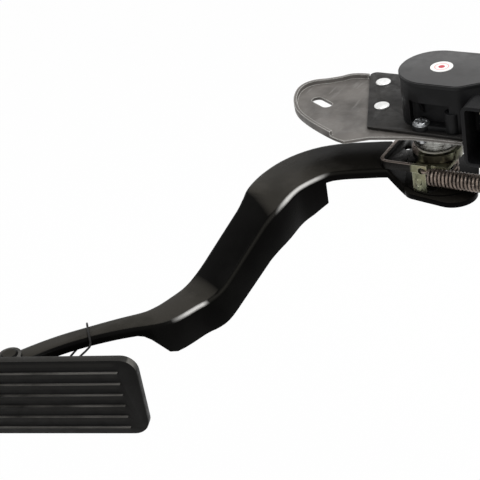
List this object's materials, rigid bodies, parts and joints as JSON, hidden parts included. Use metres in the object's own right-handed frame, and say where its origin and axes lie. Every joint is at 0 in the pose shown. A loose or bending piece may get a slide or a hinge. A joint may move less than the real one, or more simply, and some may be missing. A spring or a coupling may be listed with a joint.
{
  "type": "accelerator pedal",
  "caption": "Hanging accelerator pedal: a cranked black arm with a ribbed foot pad swings in a steel bracket against springs and turns a boxed position sensor.",
  "frame": {"origin": "on the pivot axis, in the plane of the mounting bracket's underside", "axes": "+Z along the pivot axis towards the sensor lid, +X along the bracket towards its fixing hole, -Y towards the foot pad and the driver"},
  "size_m": [0.2915, 0.2835, 0.1402],
  "materials": {
    "plated_steel": "satin grey zinc",
    "dark_steel": "satin dark",
    "bright_steel": "bright",
    "zinc_steel": "zinc plated",
    "bronze": "sintered, oiled",
    "rubber": "matte",
    "black_plastic": "fine grain",
    "grey_plastic": "satin",
    "label_white": "smooth",
    "board": "lacquered",
    "tinned_brass": "bright",
    "black_paint": "gloss black",
    "nylon": "natural",
    "yellow_zinc": "yellow zinc",
    "spring_steel": "oiled",
    "pad_plastic": "fine grain"
  },
  "bodies": {
    "bracket": {"mount_bracket": "plated_steel", "sensor_plate": "dark_steel", "plate_rivets": "bright_steel", "bearing_cup": "zinc_steel", "pivot_bush": "bronze", "idle_bumper": "rubber", "sensor_housing": "black_plastic", "sensor_lid": "grey_plastic", "lid_disc": "label_white", "sensor_screws": "zinc_steel", "shaft_seal": "rubber", "track_board": "board", "connector_pins": "tinned_brass"},
    "arm": {"pedal_arm": "black_paint", "pivot_shaft": "bright_steel", "thrust_washer": "nylon", "spring_lever": "yellow_zinc", "torsion_spring": "spring_steel", "hub_washer": "zinc_steel", "shaft_clip": "spring_steel", "return_spring": "spring_steel", "sensor_rotor": "nylon", "wiper_contacts": "tinned_brass", "eye_bushes": "nylon", "pad_spring": "spring_steel"},
    "pad": {"pedal_pad": "pad_plastic", "pad_pin": "bright_steel", "pin_clip": "spring_steel"}
  },
  "joints": [
    {"name": "pedal_swing", "type": "hinge", "parent": "bracket", "child": "arm", "pos_m": [0, 0, 0], "axis": [0, 0, 1], "range_deg": [-20, 0], "stiffness_Nm_per_rad": 12, "springref_deg": 26.93, "deforming": ["return_spring", "torsion_spring"]},
    {"name": "pad_tilt", "type": "hinge", "parent": "arm", "child": "pad", "pos_m": [-0.17628, -0.21571, -0.07], "axis": [0, 0, 1], "range_deg": [0, 15], "stiffness_Nm_per_rad": 0.4, "springref_deg": -20.05, "deforming": ["pad_spring"]}
  ]
}
